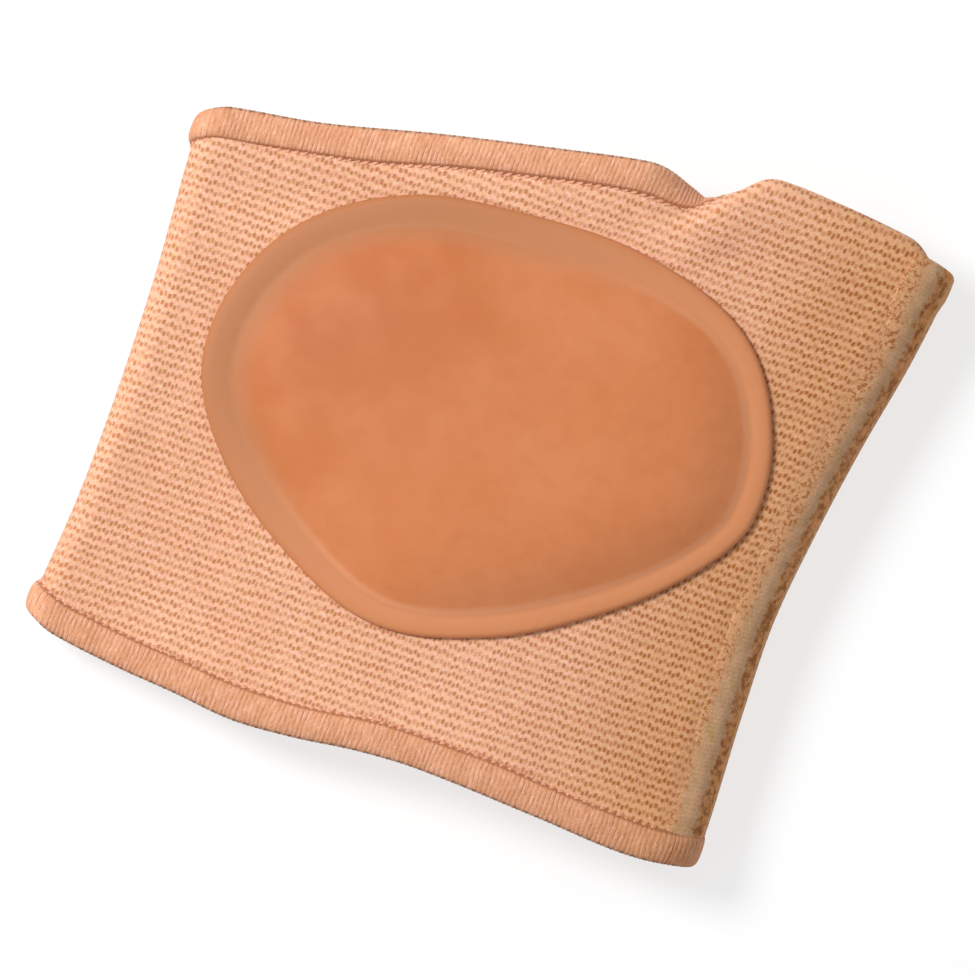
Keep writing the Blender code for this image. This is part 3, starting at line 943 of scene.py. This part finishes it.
def knit_material():
    g = Graph("knit_peach")
    vector, u0, v0 = g.pattern()
    place, _, _ = g.place()
    u = g.add(u0, g.times(g.add(g.noise(vector, 0.22, 2.0), -0.5), 0.8))
    v = g.add(v0, g.times(g.add(g.noise(vector, 0.31, 2.0), -0.5), 0.8))
    v = g.add(v, g.times(u0, 0.02))
    fuzz = g.noise(vector, 3.2, 2.0, 0.7)
    u = g.add(u, g.times(g.add(fuzz, -0.5), 0.16))
    grain = g.noise(vector, 5.0, 2.0, 0.7)
    v = g.add(v, g.times(g.add(grain, -0.5), 0.12))
    u = g.add(u, g.times(v, 0.06))
    legs = g.maths("COSINE", g.times(u, 4 * pi))
    wales = g.maths("COSINE", g.times(u, 2 * pi))
    offset = g.times(wales, 0.11)
    rows = g.maths("COSINE", g.times(g.add(v, offset), 2 * pi))
    random = g.cells(g.add(g.times(u, 2.0), 0.5), g.add(g.add(v, offset), 0.5), 1.0)
    row_mask = g.between(rows, -0.55, 0.80)
    leg_mask = g.between(legs, -0.80, 0.60, 0.38, 1.0)
    slit = g.times(g.times(row_mask, leg_mask), g.between(random, 0.0, 0.8, 0.55, 1.0))
    side = g.maths("ABSOLUTE", u0)
    slit = g.times(slit, g.between(side, 0.3, 3.0, 0.6, 1.0))
    pink = g.noise(vector, 1.9, 1.0, 0.5)
    tan = g.noise(g.joined(g.times(u0, 1.0), g.add(v0, 31.0)), 2.1, 1.0, 0.5)
    stroke = g.noise(g.joined(g.times(u, 4.6), g.times(v0, 1.7)), 1.0, 2.0, 0.75)
    tone = g.noise(place, 90.0, 2.0, 0.5)
    base = g.blend(g.between(tone, 0.3, 0.7), linear(231, 173, 138), linear(239, 183, 148))
    base = g.blend(g.between(pink, 0.50, 0.72, 0.0, 0.55), base, linear(250, 186, 176))
    base = g.blend(g.between(tan, 0.52, 0.72, 0.0, 0.50), base, linear(232, 184, 124))
    # Fibre strokes: yarn tone with painted highlight where the bump raises them and painted shade
    # where it lowers them.
    base = g.blend(g.between(stroke, 0.52, 0.70, 0.0, 0.60), base, linear(255, 214, 194))
    base = g.blend(g.between(stroke, 0.48, 0.32, 0.0, 0.50), base, linear(212, 140, 96))
    # Colour of the slits between stitches: painted shade in the hollows between the loops, made
    # stronger within 24 wales of the seam.
    gap_shade = g.blend(g.between(tan, 0.40, 0.60), linear(184, 102, 56), linear(178, 112, 50))
    near_seam = g.between(side, 24.0, 2.0)
    gap_shade_strength = g.add(0.80, g.times(near_seam, 0.20))
    colour = g.blend(g.times(slit, gap_shade_strength), base, gap_shade)
    # Painted shade beside the seam, where the knit turns away from the light: within 24 wales of it
    # the colour is multiplied darker and browner.
    colour = g.blend(near_seam, colour, (0.80, 0.75, 0.58, 1.0), "MULTIPLY")
    # Painted shade on the roll beyond the seam, from half a wale to 14 wales round it: the colour is
    # multiplied darker and browner.
    roll = g.times(g.between(u0, 0.0, -0.5), g.between(u0, -14.0, -9.0))
    colour = g.blend(roll, colour, (0.84, 0.78, 0.70, 1.0), "MULTIPLY")
    g.finish(colour, roughness=0.85, specular=0.2, sheen=0.1)
    height = g.add(g.times(slit, -0.9), g.times(stroke, 0.5))
    g.bump(height, 0.00015, 0.7)
    return g.material


def hem_material():
    g = Graph("hem_yarn")
    _, u, v = g.pattern()
    place, px, py = g.place()
    ridge = g.maths("ABSOLUTE", g.maths("SINE", g.times(u, pi)))
    blotch = g.noise(place, 900.0, 3.0, 0.7)
    # gap marks painted shade in the grooves between the ribs, in blotches.
    gap = g.times(g.between(ridge, 0.60, 0.0), g.between(blotch, 0.40, 0.64))
    hair = g.noise(g.joined(g.times(u, 3.4), g.times(v, 3.0)), 1.0, 2.0, 0.7)
    tone = g.noise(place, 420.0, 3.0, 0.65)
    rib = g.cells(u, 0.0, 3.0)
    base = g.blend(g.between(tone, 0.3, 0.7), linear(218, 152, 114), linear(232, 170, 134))
    base = g.blend(g.between(blotch, 0.5, 0.7, 0.0, 0.5), base, linear(244, 184, 160))
    base = g.blend(g.times(rib, 0.3), base, linear(206, 142, 100))
    base = g.blend(g.between(hair, 0.52, 0.70, 0.0, 0.6), base, linear(252, 202, 176))
    base = g.blend(g.between(hair, 0.48, 0.32, 0.0, 0.5), base, linear(206, 138, 88))
    colour = g.blend(g.times(gap, 0.8), base, linear(156, 90, 50))
    # Painted shadow: a dark line along the band's inner edge, beside the chain stitch.
    chain_shadow = g.times(g.between(v, 0.12, 0.03), g.between(v, -0.10, -0.02))
    colour = g.blend(g.times(chain_shadow, 0.65), colour, linear(150, 84, 44))
    # Painted shade: dark dashes along the band's outer edge, between the loops of its edge thread.
    rim = g.between(v, 0.88, 0.98)
    on_band = g.maths("LESS_THAN", v, 1.5)
    dash = g.between(g.maths("COSINE", g.times(u, pi * 0.85)), -0.2, 0.7, 0.35, 1.0)
    colour = g.blend(g.times(g.times(rim, dash), g.times(on_band, 0.85)), colour, linear(104, 62, 32))
    loop = g.maths("GREATER_THAN", v, 1.5)
    colour = g.blend(loop, colour, linear(238, 174, 142))
    # Painted shade: toward the seam side, from x = 0.020 to 0.040 m, the hems are multiplied darker
    # and browner.
    near_seam = g.between(px, 0.020, 0.040)
    colour = g.blend(near_seam, colour, (0.82, 0.78, 0.66, 1.0), "MULTIPLY")
    # Painted shade: the upper hem's end beside the seam, at the upper right, turns mottled brown.
    brown = g.blend(g.between(blotch, 0.36, 0.64), linear(140, 84, 34), linear(206, 140, 88))
    tab = g.times(g.between(px, 0.0395, 0.0410), g.between(py, 0.0300, 0.0320))
    colour = g.blend(tab, colour, brown)
    g.finish(colour, roughness=0.8, specular=0.2, sheen=0.1)
    g.bump(g.noise(place, 2600.0, 2.0, 0.7), 0.00016, 0.8)
    return g.material


def seam_material():
    g = Graph("seam_yarn")
    _, side, phase = g.pattern()
    place, px, py = g.place()
    ridge = g.maths("ABSOLUTE", g.maths("SINE", g.times(phase, pi)))
    tone = g.noise(place, 500.0, 3.0, 0.65)
    blotch = g.noise(place, 1100.0, 3.0, 0.7)
    warm = g.noise(place, 640.0, 2.0, 0.6)
    crest = g.blend(g.between(tone, 0.3, 0.7), linear(194, 152, 114), linear(212, 170, 132))
    crest = g.blend(g.between(warm, 0.52, 0.70, 0.0, 0.7), crest, linear(218, 162, 126))
    crest = g.blend(g.between(warm, 0.46, 0.30, 0.0, 0.7), crest, linear(190, 150, 92))
    # Painted shade in the grooves between the welt's threads.
    crest = g.blend(g.times(g.between(ridge, 0.5, 0.0), 0.22), crest, linear(160, 108, 66))
    # Painted shade in the ditch on the roll side of the crest: the welt turns mottled brown there.
    wander = g.add(side, g.times(g.add(blotch, -0.5), 1.0))
    brown = g.blend(g.between(blotch, 0.36, 0.64), linear(150, 92, 42), linear(212, 148, 96))
    brown = g.blend(g.between(warm, 0.52, 0.70, 0.0, 0.6), brown, linear(220, 150, 82))
    colour = g.blend(g.between(wander, -0.05, -0.45), crest, brown)
    speck = g.noise(place, 2000.0, 2.0, 0.7)
    # Where the welt blends into the knit it takes the knit's colour with the painted shade it has
    # beside the seam, and dark specks of painted gap shade.
    knit = g.blend(g.between(tone, 0.3, 0.7), linear(212, 156, 112), linear(222, 168, 124))
    knit = g.blend(g.between(speck, 0.46, 0.62), knit, linear(172, 108, 62))
    low = g.between(py, 0.006, -0.022)
    border = g.add(wander, g.times(low, -0.35))
    colour = g.blend(g.between(border, 0.25, 0.70), colour, knit)
    outer = g.between(side, -1.05, -1.25)
    colour = g.blend(g.times(outer, 0.7), colour, linear(204, 158, 108))
    g.finish(colour, roughness=0.8, specular=0.2)
    g.bump(g.noise(place, 2600.0, 2.0, 0.7), 0.00014, 0.8)
    return g.material


def gel_material():
    g = Graph("gel_amber")
    _, inward, soft = g.pattern()
    place, px, py = g.place()
    cloud = g.noise(place, 70.0, 3.0, 0.55)
    fine = g.noise(place, 420.0, 3.0, 0.6)
    # Painted shade: the gel and its flange are darker toward the upper left, the side facing the
    # light, where light passing through a translucent gel leaves it darker.
    left = g.between(g.add(px, g.times(py, -0.6)), -0.036, 0.022)
    base = g.blend(left, linear(182, 98, 46), linear(214, 132, 82))
    base = g.blend(g.between(cloud, 0.35, 0.7, 0.0, 0.5), base, linear(214, 138, 92))
    base = g.blend(g.between(fine, 0.4, 0.7, 0.0, 0.2), base, linear(190, 108, 58))
    flange = g.blend(left, linear(182, 118, 76), linear(214, 140, 94))
    wide = g.between(soft, 0.0, 1.0, 0.34, 0.50)
    thin = g.maths("SUBTRACT", 1.0, g.between(inward, 0.24, wide))
    base = g.blend(thin, base, flange)
    # Painted highlight: a light line along the foot of the dome, away from the soft upper-left rim.
    line = g.times(g.between(inward, 0.25, 0.30), g.between(inward, 0.38, 0.31))
    line = g.times(line, g.maths("SUBTRACT", 1.0, soft))
    base = g.blend(g.times(line, 0.6), base, linear(232, 162, 120))
    g.finish(base, roughness=0.6, specular=0.3)
    g.shader.inputs["Subsurface Weight"].default_value = 0.2
    g.shader.inputs["Subsurface Radius"].default_value = (1.0, 0.5, 0.3)
    g.shader.inputs["Subsurface Scale"].default_value = 0.002
    g.bump(g.noise(place, 900.0, 2.0, 0.6), 0.00006, 0.5)
    return g.material


def make_camera():
    data = bpy.data.cameras.new("camera")
    data.sensor_fit = "HORIZONTAL"
    data.sensor_width = 36.0
    data.lens = 36.0 * VIEW_DISTANCE / VIEW_SPAN
    data.clip_start = 0.01
    data.clip_end = 20.0
    camera = bpy.data.objects.new("camera", data)
    bpy.context.scene.collection.objects.link(camera)
    place = Matrix.Translation(VIEW_TARGET + Vector((0, 0, VIEW_DISTANCE)))
    camera.matrix_world = place @ Matrix.Rotation(VIEW_TURN, 4, "Z")
    bpy.context.scene.camera = camera


def make_floor():
    reach = 3.0
    below = -0.0001
    mesh = bpy.data.meshes.new("floor")
    corners = [(-reach, -reach, below), (reach, -reach, below), (reach, reach, below)]
    corners += [(-reach, reach, below)]
    mesh.from_pydata(corners, [], [(0, 1, 2, 3)])
    floor = bpy.data.objects.new("floor", mesh)
    bpy.context.scene.collection.objects.link(floor)
    g = Graph("floor_white")
    g.shader.inputs["Base Color"].default_value = (0.30, 0.30, 0.30, 1)
    g.shader.inputs["Roughness"].default_value = 0.9
    g.shader.inputs["Emission Color"].default_value = (1.0, 1.0, 1.0, 1)
    g.shader.inputs["Emission Strength"].default_value = 0.70
    mesh.materials.append(g.material)


def area_light(name, place, size, power, colour=(1, 1, 1)):
    data = bpy.data.lights.new(name, "AREA")
    data.shape = "DISK"
    data.size = size
    data.energy = power
    data.color = colour
    light = bpy.data.objects.new(name, data)
    bpy.context.scene.collection.objects.link(light)
    light.location = place
    light.rotation_euler = (VIEW_TARGET - Vector(place)).to_track_quat("-Z", "Y").to_euler()


def make_room():
    world = bpy.data.worlds.new("room")
    world.use_nodes = True
    world.node_tree.nodes["Background"].inputs["Color"].default_value = (1, 1, 1, 1)
    world.node_tree.nodes["Background"].inputs["Strength"].default_value = 0.42
    bpy.context.scene.world = world
    area_light("key", (-0.42, 0.10, 0.50), 0.22, 3.8)
    bpy.context.scene.view_settings.view_transform = "Standard"


make_camera()
make_floor()
make_room()
knit = make_knit(knit_material())
hem_yarn = hem_material()
upper = make_hem("upper_hem_yarn", True, hem_yarn, "upper_hem")
lower = make_hem("lower_hem_yarn", False, hem_yarn, "lower_hem")
seam = make_seam(seam_material())
gel = make_gel(gel_material())
